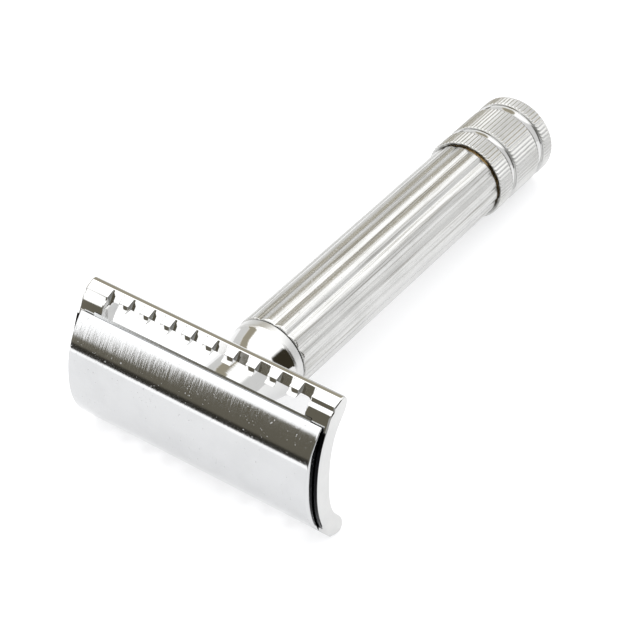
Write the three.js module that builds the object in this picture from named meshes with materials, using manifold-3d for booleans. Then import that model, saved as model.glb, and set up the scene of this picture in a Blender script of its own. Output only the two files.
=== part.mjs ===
/**
 * Double-edge safety razor with a twist knob, lying on its side.
 *
 * Units are millimetres, +Z is up.  The razor is drawn in its own axes first:
 *   x  along the head,  y  along the handle from the cap crown to the knob,  z  across the head.
 * The whole group is then tipped by REST_TILT so that it lies on the lower safety bar and on the
 * rim of the knob, and moved so that the middle of its footprint is the origin.
 */
import * as THREE from 'three';
import { mergeVertices } from 'three/addons/utils/BufferGeometryUtils.js';
import Module from 'manifold-3d';

const wasm = await Module();
wasm.setup();

// ---------------------------------------------------------------- driving dimensions (mm)

const CAP_HALF_LENGTH = 20.75;
const CAP_HALF_WIDTH = 9.7;
const CAP_CROWN_DROP = 3.5;
const CAP_CROWN_POWER = 2.4;

const BLADE_HALF_LENGTH = 21.4;
const BLADE_EDGE_HALF_LENGTH = 18.7;
const BLADE_HALF_WIDTH = 10.25;
const BLADE_TAB_HALF_WIDTH = 8.9;
const BLADE_THICKNESS = 0.1;
const BLADE_CENTRE_Y = 1.86;
const BLADE_DROP = 2.3;
const BLADE_POWER = 2.3;
const BLADE_CLEARANCE = 0.15;

const GUARD_HALF_LENGTH = 21.5;
const BAR_HALF_WIDTH = 12.72;
const NOTCH_COUNT = 10;
const NOTCH_PITCH = 3.66;
const NOTCH_WIDTH = 2.05;
const CHANNEL_HALF_LENGTH = 17.5;
const CHANNEL_CENTRE = { y: 3.7, z: 9.75 };
const CHANNEL_RADIUS = { y: 2.1, z: 1.6 };
const THROUGH_HALF_LENGTH = 17.1;
const BAR_INNER_Z = 11.3;

const POST_SPACING = 25.6;
const POST_RADIUS = 1.4;
const POST_END_Y = 4.5;
const POST_HOLE_RADIUS = 1.7;

const STUD_RADIUS = 2.4;
const STUD_FOOT_RADIUS = 2.9;
const STUD_END_Y = 15.5;
const HEAD_BORE_RADIUS = 3.45;

const NECK_END_Y = 20.5;
const NECK_RADIUS = 5.6;
const FLANGE_RADIUS = 6.13;

const TUBE_START_Y = 20.65;
const TUBE_END_Y = 72.88;
const TUBE_BORE_RADIUS = 4.7;
const REED_COUNT = 15;
const REED_CREST_RADIUS = 6.3;
const REED_VALLEY_RADIUS = 5.98;

const ROD_RADIUS = 1.6;
const KNOB_START_Y = 72.95;
const KNOB_RING_END_Y = 88.5;
const KNOB_END_Y = 88.7;
const KNOB_RADIUS = 6.87;
const KNOB_CORE_RADIUS = 5.2;
const KNOB_SPACER_RADIUS = 6.2;
const KNURL_COUNT = 65;
const KNURL_DEPTH = 0.2;

const REST_TILT = Math.atan((BAR_HALF_WIDTH - KNOB_RADIUS) / (KNOB_RING_END_Y - 7.75));

const ROUND = 48;
const ROUND_SMALL = 24;

// ---------------------------------------------------------------- finishes

/**
 * Make one surface finish.
 * @param {number} color - sRGB colour.
 * @param {number} roughness - 0 mirror to 1 matt.
 * @param {number} metalness - 1 for bare or plated metal.
 */
function finish(color, roughness, metalness) {
  return new THREE.MeshStandardMaterial({ color, roughness, metalness });
}

const CHROME = finish(0xd5d6d4, 0.12, 1);
const BRUSHED_CHROME = finish(0xc6c6c3, 0.24, 1);
const KNURLED_CHROME = finish(0xb9b9b7, 0.3, 1);
const STEEL = finish(0x9fa3a6, 0.28, 1);
const BLADE_STEEL = finish(0xb9bdc0, 0.2, 1);
const BRASS = finish(0xb8923e, 0.35, 1);
const SPRING_STEEL = finish(0x74777b, 0.35, 1);

// ---------------------------------------------------------------- geometry helpers

/** Turn a closed three.js geometry into a manifold solid. */
function toSolid(geometry) {
  const plain = geometry.clone();
  plain.deleteAttribute('normal');
  plain.deleteAttribute('uv');
  const merged = mergeVertices(plain, 1e-4);
  const mesh = new wasm.Mesh({
    numProp: 3,
    vertProperties: new Float32Array(merged.attributes.position.array),
    triVerts: new Uint32Array(merged.index.array),
  });
  return new wasm.Manifold(mesh);
}

/** Turn a manifold solid back into a flat-shaded three.js geometry. */
function toGeometry(solid) {
  const mesh = solid.getMesh();
  const geometry = new THREE.BufferGeometry();
  geometry.setAttribute('position', new THREE.BufferAttribute(mesh.vertProperties, 3));
  geometry.setIndex(new THREE.BufferAttribute(mesh.triVerts, 1));
  const flat = geometry.toNonIndexed();
  flat.computeVertexNormals();
  return flat;
}

/** Subtract a list of tools from one blank. */
function cut(blank, tools) {
  const body = tools.reduce((solid, tool) => solid.subtract(toSolid(tool)), toSolid(blank));
  return toGeometry(body);
}

/**
 * Revolve a closed [radius, y] outline about the handle axis.
 * The outline runs counter-clockwise when radius points right and y points up.
 */
function turned(outline, segments = ROUND) {
  const points = outline.map(([radius, y]) => new THREE.Vector2(radius, y));
  if (outline[0][0] > 0 || outline[outline.length - 1][0] > 0) {
    points.push(points[0].clone());
  }
  return new THREE.LatheGeometry(points, segments);
}

/** A plain ring: bore radius, outer radius, start and end along the handle, edge break. */
function ring(bore, outer, start, end, segments = ROUND, edge = 0.12) {
  return turned([
    [bore, start],
    [outer - edge, start],
    [outer, start + edge],
    [outer, end - edge],
    [outer - edge, end],
    [bore, end],
  ], segments);
}

/** A solid pin along the handle axis. */
function pin(radius, start, end, segments = ROUND_SMALL, edge = 0.15) {
  return turned([
    [0, start],
    [radius - edge, start],
    [radius, start + edge],
    [radius, end - edge],
    [radius - edge, end],
    [0, end],
  ], segments);
}

/** Extrude a closed [z, y] outline along x from -half to +half. */
function alongHead(outline, half) {
  const shape = new THREE.Shape(outline.map(([z, y]) => new THREE.Vector2(z, y)));
  const geometry = new THREE.ExtrudeGeometry(shape, { depth: 2 * half, bevelEnabled: false });
  geometry.translate(0, 0, -half);
  geometry.rotateY(Math.PI / 2);
  return geometry;
}

/** Extrude a closed [x, z] outline with holes along the handle from start to end. */
function alongHandle(outline, holes, start, end) {
  const shape = new THREE.Shape(outline.map(([x, z]) => new THREE.Vector2(x, z)));
  for (const hole of holes) {
    shape.holes.push(new THREE.Path(hole.map(([x, z]) => new THREE.Vector2(x, z))));
  }
  const geometry = new THREE.ExtrudeGeometry(shape, { depth: end - start, bevelEnabled: false });
  geometry.rotateX(-Math.PI / 2);
  geometry.translate(0, start, 0);
  return geometry;
}

/** Points of a circle in a plane, counter-clockwise. */
function circle(radius, count, cx = 0, cz = 0) {
  return Array.from({ length: count }, (_, i) => {
    const angle = (2 * Math.PI * i) / count;
    return [cx + radius * Math.cos(angle), cz + radius * Math.sin(angle)];
  });
}

/** Evenly spaced numbers including both ends. */
function spread(from, to, count) {
  return Array.from({ length: count }, (_, i) => from + ((to - from) * i) / (count - 1));
}

/** Mirror the half outline of a symmetric [z, y] profile into a closed one. */
function mirrored(front, back) {
  const halfFront = front.map(([z, y]) => [z, y]);
  const halfBack = back.map(([z, y]) => [z, y]);
  const right = [...halfFront, ...halfBack];
  const left = right.slice(1, -1).reverse().map(([z, y]) => [-z, y]);
  return [...right, ...left];
}

// ---------------------------------------------------------------- head profiles

/** Height of the cap's outer face below the crown at a distance z from the centre line. */
function capOuter(z) {
  return CAP_CROWN_DROP * Math.pow(Math.abs(z) / CAP_HALF_WIDTH, CAP_CROWN_POWER);
}

/** Height of the blade's middle surface, bent between cap and guard. */
function bladeMiddle(z) {
  return BLADE_CENTRE_Y + BLADE_DROP * Math.pow(Math.abs(z) / BLADE_HALF_WIDTH, BLADE_POWER);
}

/** Closed outline of the cap: crown, thin rounded edge, hollow underside. */
function capOutline() {
  const outer = spread(0, CAP_HALF_WIDTH - 0.05, 13).map((z) => [z, capOuter(z)]);
  const edge = [[CAP_HALF_WIDTH, CAP_CROWN_DROP + 0.09]];
  const inner = spread(CAP_HALF_WIDTH - 0.1, 0, 11)
    .map((z) => [z, bladeMiddle(z) - BLADE_CLEARANCE]);
  return mirrored([...outer, ...edge], inner);
}

/** Closed outline of the guard: blade seat, ridge, rolled safety bar, thick back. */
function guardOutline() {
  const seat = spread(0, 9.6, 11).map((z) => [z, bladeMiddle(z) + BLADE_CLEARANCE]);
  const bar = [
    [10.3, 4.3], [10.9, 4.56], [11.3, 4.8], [11.62, 5.14], [11.74, 5.5],
    [12.0, 5.62], [12.58, 6.72], [BAR_HALF_WIDTH, 7.1], [BAR_HALF_WIDTH, 7.75],
    [12.45, 8.16], [12.0, 8.44], [11.5, 8.5],
  ];
  const back = [
    [10.6, 8.33], [9.6, 7.72], [8.6, 6.86], [7.5, 6.12], [6.2, 5.56],
    [4.5, 5.12], [2.5, 4.86], [0, 4.78],
  ];
  return mirrored([...seat, ...bar], back);
}

/** Long hollow with rounded ends that lets the lather run between blade and safety bar. */
function channelTool(side) {
  const end = CHANNEL_HALF_LENGTH;
  const round = spread(0, Math.PI / 2, 6).map((a) => [Math.sin(a), -end + 1.6 * (1 - Math.cos(a))]);
  const mirror = [...round].reverse().map(([radius, y]) => [radius, -y]);
  const geometry = turned([...round, ...mirror], 24);
  geometry.rotateZ(Math.PI / 2);
  geometry.scale(1, CHANNEL_RADIUS.y, CHANNEL_RADIUS.z);
  geometry.translate(0, CHANNEL_CENTRE.y, side * CHANNEL_CENTRE.z);
  return geometry;
}

/** Slot across the safety bar, deeper towards the lather channel. */
function notchTool(side, x) {
  const outline = [[10.6, 5.78], [10.6, 2.4], [13.4, 2.4], [13.4, 7.46]];
  const placed = outline.map(([z, y]) => [-side * z, y]);
  const geometry = alongHead(side > 0 ? placed : [...placed].reverse(), NOTCH_WIDTH / 2);
  geometry.translate(x, 0, 0);
  return geometry;
}

/** Opening through the plate under the blade edge, widening inwards to the handle side. */
function throughTool(side) {
  const outline = [
    [8.15, 2.9], [BAR_INNER_Z, 2.9], [BAR_INNER_Z, 9.2], [5.6, 9.2], [5.6, 7.1], [8.15, 4.2],
  ];
  const placed = outline.map(([z, y]) => [-side * z, y]);
  return alongHead(side > 0 ? placed : [...placed].reverse(), THROUGH_HALF_LENGTH);
}

/** The guard plate with channels, through openings, all notches and its three holes. */
function guardGeometry() {
  const tools = [];
  for (const side of [-1, 1]) {
    tools.push(channelTool(side));
    tools.push(throughTool(side));
    for (let i = 0; i < NOTCH_COUNT; i += 1) {
      tools.push(notchTool(side, (i - (NOTCH_COUNT - 1) / 2) * NOTCH_PITCH));
    }
    const hole = pin(POST_HOLE_RADIUS, 1, 7, 24);
    hole.translate((side * POST_SPACING) / 2, 0, 0);
    tools.push(hole);
  }
  tools.push(pin(HEAD_BORE_RADIUS, 1, 7));
  tools.push(pin(4.35, 1, 3.0));
  return cut(alongHead(guardOutline(), GUARD_HALF_LENGTH), tools);
}

/** Thin blade bent to the cap, with narrower end tabs and the usual centre openings. */
function bladeGeometry() {
  const half = BLADE_THICKNESS / 2;
  const zs = spread(-BLADE_HALF_WIDTH, BLADE_HALF_WIDTH, 25);
  const upper = zs.map((z) => [z, bladeMiddle(z) + half]);
  const lower = [...zs].reverse().map((z) => [z, bladeMiddle(z) - half]);
  const blank = alongHead([...lower, ...upper], BLADE_HALF_LENGTH);
  const tools = [pin(3.2, 1, 4)];
  for (const side of [-1, 1]) {
    const hole = pin(1.75, 1, 4, 24);
    hole.translate((side * POST_SPACING) / 2, 0, 0);
    tools.push(hole);
    const slot = new THREE.BoxGeometry(15, 3, 1.6);
    slot.translate(side * 10.2, 2.5, 0);
    tools.push(slot);
    for (const end of [-1, 1]) {
      const corner = new THREE.BoxGeometry(6, 4, 4);
      corner.translate(end * (BLADE_EDGE_HALF_LENGTH + 3), 4, side * (BLADE_TAB_HALF_WIDTH + 2));
      tools.push(corner);
    }
  }
  return cut(blank, tools);
}

// ---------------------------------------------------------------- handle and knob shapes

/** Cross-section of the reeded handle: convex reeds with narrow valleys. */
function reededOutline(stepsPerReed = 5) {
  const halfAngle = Math.PI / REED_COUNT;
  const valleyX = REED_VALLEY_RADIUS * Math.cos(halfAngle);
  const halfChord = REED_VALLEY_RADIUS * Math.sin(halfAngle);
  const rise = REED_CREST_RADIUS - valleyX;
  const bow = (halfChord * halfChord + rise * rise) / (2 * rise);
  const points = [];
  for (let reed = 0; reed < REED_COUNT; reed += 1) {
    const centre = 2 * halfAngle * reed;
    for (let i = 0; i < stepsPerReed; i += 1) {
      const across = -halfChord + (2 * halfChord * i) / stepsPerReed;
      const out = REED_CREST_RADIUS - bow + Math.sqrt(bow * bow - across * across);
      points.push([
        out * Math.cos(centre) - across * Math.sin(centre),
        out * Math.sin(centre) + across * Math.cos(centre),
      ]);
    }
  }
  return points;
}

/** Ring with straight knurling on its rim and broken edges. */
function knurledRing(start, end) {
  const count = 2 * KNURL_COUNT;
  const outline = Array.from({ length: count }, (_, i) => {
    const angle = (2 * Math.PI * i) / count;
    const radius = i % 2 === 0 ? KNOB_RADIUS : KNOB_RADIUS - KNURL_DEPTH;
    return [radius * Math.cos(angle), radius * Math.sin(angle)];
  });
  const bore = circle(KNOB_CORE_RADIUS + 0.06, ROUND_SMALL);
  return alongHandle(outline, [bore], start, end);
}

/** Handle tube: reeded outside, plain bore. */
function tubeGeometry() {
  return alongHandle(reededOutline(), [circle(TUBE_BORE_RADIUS, ROUND_SMALL)], TUBE_START_Y, TUBE_END_Y);
}

/** Neck between guard and handle, with the chamber for the draw nut and a spigot for the tube. */
function neckGeometry() {
  return turned([
    [3.4, 5.25], [5.9, 5.6], [5.55, 6.3], [5.25, 8.2], [5.2, 10.5], [5.3, 14.0],
    [NECK_RADIUS, 18.55], [6.02, 18.85], [FLANGE_RADIUS, 19.1], [FLANGE_RADIUS, 20.35],
    [6.0, NECK_END_Y], [4.62, NECK_END_Y], [4.62, 24.5], [4.05, 24.5], [4.05, 9.4], [3.4, 9.4],
  ]);
}

/** Flanged sleeve that clamps the guard plate to the neck. */
function sleeveGeometry() {
  return turned([
    [2.75, 2.3], [4.2, 2.3], [4.2, 2.95], [3.32, 2.95], [3.32, 9.2], [2.75, 9.2],
  ], ROUND_SMALL);
}

/** Draw nut: threaded socket for the stud in front, blind socket for the rod behind. */
function nutGeometry() {
  const blank = turned([
    [0, 18.3], [2.52, 18.3], [2.52, 9.9], [2.8, 9.6], [3.6, 9.6], [3.85, 9.85],
    [3.85, 23.75], [3.6, 24.0], [1.68, 24.0], [1.68, 19.3], [0, 19.3],
  ], ROUND_SMALL);
  return cut(blank, [crossPin(0.56, 12, 21.6)]);
}

/** Cross pin geometry: radius, full length and position along the handle. */
function crossPin(radius, length, y) {
  const geometry = new THREE.CylinderGeometry(radius, radius, length, 16);
  geometry.rotateZ(Math.PI / 2);
  geometry.translate(0, y, 0);
  return geometry;
}

/** Draw rod with a clip groove and two cross holes. */
function rodGeometry() {
  const blank = turned([
    [0, 19.4], [ROD_RADIUS - 0.2, 19.4], [ROD_RADIUS, 19.6], [ROD_RADIUS, 64.8], [1.2, 64.8],
    [1.2, 65.6], [ROD_RADIUS, 65.6], [ROD_RADIUS, 85.8], [ROD_RADIUS - 0.2, 86.0], [0, 86.0],
  ], ROUND_SMALL);
  return cut(blank, [crossPin(0.56, 12, 21.6), crossPin(0.81, 12, 81.2)]);
}

/** Bent spring washer: a ring whose face waves gently around the axis. */
function springWasherGeometry() {
  const geometry = ring(1.8, 4.3, 71.78, 71.98, 36, 0.05);
  const position = geometry.attributes.position;
  for (let i = 0; i < position.count; i += 1) {
    const angle = Math.atan2(position.getZ(i), position.getX(i));
    position.setY(i, position.getY(i) + 0.12 * Math.cos(3 * angle));
  }
  geometry.computeVertexNormals();
  return geometry;
}

/** Open clip that sits in the rod groove. */
function clipGeometry() {
  const mouth = new THREE.BoxGeometry(1.9, 2, 4);
  mouth.translate(0, 65.2, 2.2);
  return cut(ring(1.27, 2.9, 64.95, 65.45, ROUND_SMALL, 0.08), [mouth]);
}

/** Knob core: pilot spigot inside the tube, body under the rings, socket for the end plug. */
function knobCoreGeometry() {
  const blank = turned([
    [1.68, 72.25], [4.5, 72.25], [4.62, 72.37], [4.62, 72.98], [KNOB_CORE_RADIUS, 73.05],
    [KNOB_CORE_RADIUS, 88.4], [4.35, 88.4], [4.35, 86.8], [1.68, 86.8],
  ]);
  return cut(blank, [crossPin(0.81, 12, 81.2)]);
}

/** End plug with a slightly domed, softly broken face. */
function plugGeometry() {
  return turned([
    [0, 86.95], [4.28, 86.95], [4.28, 88.4], [3.9, KNOB_END_Y], [0, KNOB_END_Y],
  ]);
}

// ---------------------------------------------------------------- assembly

/** Wrap a geometry as a named mesh. */
function piece(name, geometry, material) {
  const mesh = new THREE.Mesh(geometry, material.clone());
  mesh.name = name;
  return mesh;
}

/** A named group holding the given children. */
function assembly(name, children) {
  const group = new THREE.Group();
  group.name = name;
  group.add(...children);
  return group;
}

/** One of the two locating posts under the cap. */
function postGeometry(side) {
  const geometry = pin(POST_RADIUS, BLADE_CENTRE_Y - 0.06, POST_END_Y, 24, 0.2);
  geometry.translate((side * POST_SPACING) / 2, 0, 0);
  return geometry;
}

/** Threaded stud under the cap, with a small foot. */
function studGeometry() {
  const foot = BLADE_CENTRE_Y + 0.04;
  return turned([
    [0, foot], [STUD_FOOT_RADIUS, foot], [STUD_FOOT_RADIUS, 2.02], [STUD_RADIUS, 2.28],
    [STUD_RADIUS, STUD_END_Y - 0.5], [STUD_RADIUS - 0.5, STUD_END_Y], [0, STUD_END_Y],
  ], ROUND_SMALL);
}

const capAssembly = assembly('cap_assembly', [
  piece('cap', alongHead(capOutline(), CAP_HALF_LENGTH), BRUSHED_CHROME),
  piece('cap_stud', studGeometry(), CHROME),
  piece('cap_post_left', postGeometry(-1), CHROME),
  piece('cap_post_right', postGeometry(1), CHROME),
]);

const bladeAssembly = assembly('blade_assembly', [
  piece('blade', bladeGeometry(), BLADE_STEEL),
]);

const handleAssembly = assembly('handle_assembly', [
  piece('guard_plate', guardGeometry(), CHROME),
  piece('guard_sleeve', sleeveGeometry(), BRASS),
  piece('neck_collar', neckGeometry(), CHROME),
  piece('handle_tube', tubeGeometry(), BRUSHED_CHROME),
  piece('front_bushing', ring(1.75, 4.6, 26, 30, ROUND_SMALL), BRASS),
  piece('rear_bushing', ring(1.75, 4.6, 66.2, 71.0, ROUND_SMALL), BRASS),
  piece('thrust_washer', ring(1.8, 4.5, 71.1, 71.55, ROUND_SMALL, 0.06), SPRING_STEEL),
]);

const knobAssembly = assembly('knob_assembly', [
  piece('draw_nut', nutGeometry(), BRASS),
  piece('nut_pin', crossPin(0.5, 7.5, 21.6), STEEL),
  piece('draw_rod', rodGeometry(), STEEL),
  piece('rod_clip', clipGeometry(), SPRING_STEEL),
  piece('spring_washer', springWasherGeometry(), SPRING_STEEL),
  piece('knob_core', knobCoreGeometry(), BRASS),
  piece('knob_front_ring', knurledRing(KNOB_START_Y + 0.05, 76.5), KNURLED_CHROME),
  piece('knob_front_spacer', ring(5.26, KNOB_SPACER_RADIUS, 76.56, 77.94), CHROME),
  piece('knob_grip_band', knurledRing(78.0, 84.34), KNURLED_CHROME),
  piece('knob_rear_spacer', ring(5.26, KNOB_SPACER_RADIUS, 84.4, 86.08), CHROME),
  piece('knob_end_ring', knurledRing(86.14, KNOB_RING_END_Y), KNURLED_CHROME),
  piece('knob_pin', crossPin(0.75, 10.2, 81.2), STEEL),
  piece('knob_end_plug', plugGeometry(), CHROME),
]);

const razor = assembly('razor', [capAssembly, bladeAssembly, handleAssembly, knobAssembly]);
razor.rotation.x = -REST_TILT;
razor.updateMatrixWorld(true);

const footprint = new THREE.Box3().setFromObject(razor, true);
razor.position.y = -(footprint.min.y + footprint.max.y) / 2;
razor.position.z = -footprint.min.z;

const group = assembly('safety_razor', [razor]);
group.updateMatrixWorld(true);

export default group;
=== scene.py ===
"""Visual model of a double-edge safety razor with a twist knob, lying on its side.

Sizes inside the classes are millimetres in the razor's own axes: x runs along the head,
y runs along the handle from the cap crown to the knob, and z runs across the head.
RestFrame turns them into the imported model's frame, which is in metres.
"""

import logging
import math
from collections.abc import Callable, Sequence
from dataclasses import dataclass
from enum import Enum

import bmesh
import bpy
import numpy as np
from mathutils import Matrix, Vector


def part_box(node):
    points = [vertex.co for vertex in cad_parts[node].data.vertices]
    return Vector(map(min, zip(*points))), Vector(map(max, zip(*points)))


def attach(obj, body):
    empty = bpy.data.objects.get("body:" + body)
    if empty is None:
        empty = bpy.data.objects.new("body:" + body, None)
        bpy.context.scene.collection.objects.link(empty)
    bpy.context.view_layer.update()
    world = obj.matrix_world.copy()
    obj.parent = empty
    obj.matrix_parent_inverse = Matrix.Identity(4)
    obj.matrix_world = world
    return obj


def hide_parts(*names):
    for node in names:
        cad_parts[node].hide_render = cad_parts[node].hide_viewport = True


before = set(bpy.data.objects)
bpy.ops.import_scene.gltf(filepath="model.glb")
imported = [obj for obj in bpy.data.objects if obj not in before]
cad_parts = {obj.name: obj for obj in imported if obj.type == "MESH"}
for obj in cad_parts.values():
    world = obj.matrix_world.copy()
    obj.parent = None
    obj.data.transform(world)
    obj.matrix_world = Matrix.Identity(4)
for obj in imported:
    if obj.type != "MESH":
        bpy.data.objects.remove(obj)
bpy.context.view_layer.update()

logging.basicConfig(level=logging.INFO, format="%(name)s: %(message)s")
log = logging.getLogger("razor")

Array = np.ndarray
Colour = tuple[float, float, float]
Carve = Callable[[Array, Array, Array], Array]

MM = 0.001
QUARTER = math.pi / 2
FULL_TURN = 2 * math.pi
FRONT_SPACER_MIDDLE = 77.25  # station of the middle of the knob's front groove
LARGEST_ROUND = 0.45  # share of a side that the rounding of one corner may take
SHORTEST_SPAN = 1e-4  # an outline's points that lie closer, in millimetres, become one
MERGE_DISTANCE = 2e-8  # a mesh's points that lie closer, in metres, become one


class Body(Enum):
    """The bodies that move on their own."""

    HANDLE = "handle"
    KNOB = "knob"
    CAP = "cap"
    BLADE = "blade"


class Slot(Enum):
    """The record's material slots."""

    SATIN = "satin_chrome"
    POLISHED = "polished_chrome"
    KNURLED = "knurled_chrome"
    STEEL = "steel"
    BLADE = "blade_steel"
    BRASS = "brass"
    SPRING = "spring_steel"


class Lay(Enum):
    """Which way the fine marks of a finish run: how often they repeat per millimetre on x, y and z."""

    ACROSS_HEAD = (2.6, 0.22, 0.22)
    ALONG_HANDLE = (4.6, 0.05, 4.6)
    AROUND_HANDLE = (0.16, 4.2, 0.16)
    EVEN = (1.6, 1.6, 1.6)


class Axis(Enum):
    """The axis that a turned piece is turned about."""

    HANDLE = "handle"
    HEAD = "head"


# ---------------------------------------------------------------- the razor's place


@dataclass(frozen=True)
class RestFrame:
    """The razor's own millimetre axes, laid on the floor.

    Args:
        tilt: angle that tips the handle axis below the horizontal, in radians.
        offset: the razor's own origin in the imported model's frame, in millimetres.
    """

    tilt: float
    offset: tuple[float, float, float]

    @classmethod
    def measured(cls, bar_half_width: float, knob_radius: float, span: float) -> "RestFrame":
        """The razor rests on one safety bar and on the knob's rim; a symmetric ring gives its place.

        Args:
            bar_half_width: reach of the safety bar from the handle axis.
            knob_radius: outer radius of the knob.
            span: distance along the handle between the two points it rests on.
        Returns:
            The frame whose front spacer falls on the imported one.
        """
        tilt = math.atan((bar_half_width - knob_radius) / span)
        low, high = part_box("knob_front_spacer")
        middle = np.array((low + high) / 2) / MM
        turned = cls(tilt, (0.0, 0.0, 0.0)).turn() @ np.array((0.0, FRONT_SPACER_MIDDLE, 0.0))
        return cls(tilt, tuple(float(v) for v in middle - turned))

    def turn(self) -> Array:
        """Rotation by minus the tilt about x."""
        c, s = math.cos(self.tilt), math.sin(self.tilt)
        return np.array([[1.0, 0.0, 0.0], [0.0, c, s], [0.0, -s, c]])

    def place(self, points: Array) -> Array:
        """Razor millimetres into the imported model's metres."""
        return (points @ self.turn().T + np.array(self.offset)) * MM


REST = RestFrame.measured(bar_half_width=12.72, knob_radius=6.87, span=88.5 - 7.75)


# ---------------------------------------------------------------- surfaces


def filleted(outline: Sequence[Sequence[float]], setback: float | Sequence[float], steps: int = 5,
             closed: bool = True) -> Array:
    """Round the corners of a polyline.

    Each corner becomes the parabola (1-w)^2 a + 2 w (1-w) corner + w^2 b, where a and b lie on
    the two sides at the setback from the corner, and never past 45 percent of a side.

    Args:
        outline: corners, each a pair of numbers.
        setback: distance from each corner at which rounding starts, one for all or one each.
        steps: spans along each rounded corner.
        closed: whether the last corner joins the first one.
    Returns:
        The rounded polyline as an array of pairs.
    """
    corner = np.asarray(outline, float)
    reach = np.broadcast_to(np.asarray(setback, float), len(corner)).copy()
    before, after = np.roll(corner, 1, 0) - corner, np.roll(corner, -1, 0) - corner
    if not closed:
        reach[[0, -1]] = 0
    len_before = np.maximum(np.linalg.norm(before, axis=1), 1e-9)
    len_after = np.maximum(np.linalg.norm(after, axis=1), 1e-9)
    cut = np.minimum(reach, LARGEST_ROUND * np.minimum(len_before, len_after))
    start = corner + before * (cut / len_before)[:, None]
    end = corner + after * (cut / len_after)[:, None]
    w = np.linspace(0, 1, steps + 1)[None, :, None]
    arcs = (1 - w) ** 2 * start[:, None] + 2 * w * (1 - w) * corner[:, None] + w**2 * end[:, None]
    path = arcs.reshape(-1, 2)
    gap = np.linalg.norm(path - np.roll(path, 1, 0), axis=1)
    keep = gap > SHORTEST_SPAN
    if not closed:
        keep[0] = True
    return path[keep]


def grid_quads(rows: int, cols: int, wrap_rows: bool, wrap_cols: bool) -> Array:
    """Quads between neighbours of a grid whose point index is row x cols + col.

    Args:
        rows: points in the first direction.
        cols: points in the second direction.
        wrap_rows: whether the last row joins the first.
        wrap_cols: whether the last column joins the first.
    Returns:
        Four point indices per quad.
    """
    i, j = np.meshgrid(
        np.arange(rows if wrap_rows else rows - 1),
        np.arange(cols if wrap_cols else cols - 1),
        indexing="ij",
    )
    k, m = (i + 1) % rows, (j + 1) % cols
    quads = np.stack([i * cols + j, k * cols + j, k * cols + m, i * cols + m], axis=-1)
    return quads.reshape(-1, 4)


def capped_tube(rows: int, cols: int) -> list[list[int]]:
    """Faces of a tube of closed sections: quads along it and one face at each end.

    Args:
        rows: number of sections.
        cols: points in each section.
    Returns:
        Point indices of each face, all wound the same way.
    """
    first = np.arange(cols)
    ends = [first.tolist(), (first + (rows - 1) * cols)[::-1].tolist()]
    return grid_quads(rows, cols, False, True).tolist() + ends


def zigzag(phase: Array) -> Array:
    """Triangle wave |2 (phase - floor) - 1|: 1 at whole numbers, 0 half way between them."""
    return np.abs(2 * (phase - np.floor(phase)) - 1)


def thread_phase(turn: Array, station: Array, pitch: float) -> Array:
    """Phase of a right-hand thread: station / pitch - turn / full turn."""
    return station / pitch - turn / FULL_TURN


def skin(name: str, points: Array, faces: list[list[int]], sharp: float = 40.0) -> bpy.types.Object:
    """Make an object of a closed surface: doubles merged, faces outwards, smooth but for sharp edges.

    Args:
        name: object name.
        points: razor millimetres, three per point.
        faces: point indices of each face.
        sharp: angle in degrees past which an edge is kept sharp.
    Returns:
        The linked object, at the origin.
    """
    mesh = bpy.data.meshes.new(name)
    mesh.from_pydata(REST.place(points.reshape(-1, 3)).tolist(), [], faces)
    work = bmesh.new()
    work.from_mesh(mesh)
    bmesh.ops.remove_doubles(work, verts=work.verts, dist=MERGE_DISTANCE)
    if work.calc_volume(signed=True) < 0:
        bmesh.ops.reverse_faces(work, faces=work.faces)
    work.to_mesh(mesh)
    work.free()
    made = bpy.data.objects.new(name, mesh)
    bpy.context.scene.collection.objects.link(made)
    smooth(made, sharp)
    return made


def smooth(piece: bpy.types.Object, sharp: float) -> None:
    """Shade a piece smooth, with edges past an angle in degrees kept sharp."""
    mesh = piece.data
    mesh.polygons.foreach_set("use_smooth", np.ones(len(mesh.polygons), bool))
    mesh.set_sharp_from_angle(angle=math.radians(sharp))
    mesh.update()


def weighted(piece: bpy.types.Object) -> None:
    """Let the large faces set the shading, so that flats stay flat beside small rounded edges."""
    even = piece.modifiers.new("even_shading", "WEIGHTED_NORMAL")
    even.mode = "FACE_AREA"
    even.keep_sharp = True
    even.weight = 60


def revolve(name: str, section: Array, segments: int, carve: Carve | None = None,
            axis: Axis = Axis.HANDLE, centre: tuple[float, float] = (0.0, 0.0),
            sharp: float = 40.0) -> bpy.types.Object:
    """Turn a section about an axis: x = r sin a, z = r cos a at the station along it.

    Args:
        name: object name.
        section: pairs of radius and station; a closed loop unless it starts and ends at radius 0.
        segments: steps round the axis.
        carve: gives the final radius from the angle, the turned radius and the station.
        axis: the handle axis, or an axis along the head.
        centre: x and z of the axis, or y and z when it runs along the head.
        sharp: angle in degrees past which an edge is kept sharp.
    Returns:
        The linked object.
    """
    turn = np.linspace(0, FULL_TURN, segments, endpoint=False)[:, None]
    radius, station = section[None, :, 0], section[None, :, 1]
    radius = carve(turn, radius, station) if carve else np.repeat(radius, segments, 0)
    across, up = radius * np.sin(turn), radius * np.cos(turn)
    along = np.broadcast_to(station, radius.shape)
    if axis is Axis.HANDLE:
        points = np.stack([across + centre[0], along, up + centre[1]], axis=-1)
    else:
        points = np.stack([along, across + centre[0], up + centre[1]], axis=-1)
    solid = bool(section[0, 0] == 0 and section[-1, 0] == 0)
    quads = grid_quads(segments, len(section), True, not solid)
    return skin(name, points, quads.tolist(), sharp)


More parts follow.
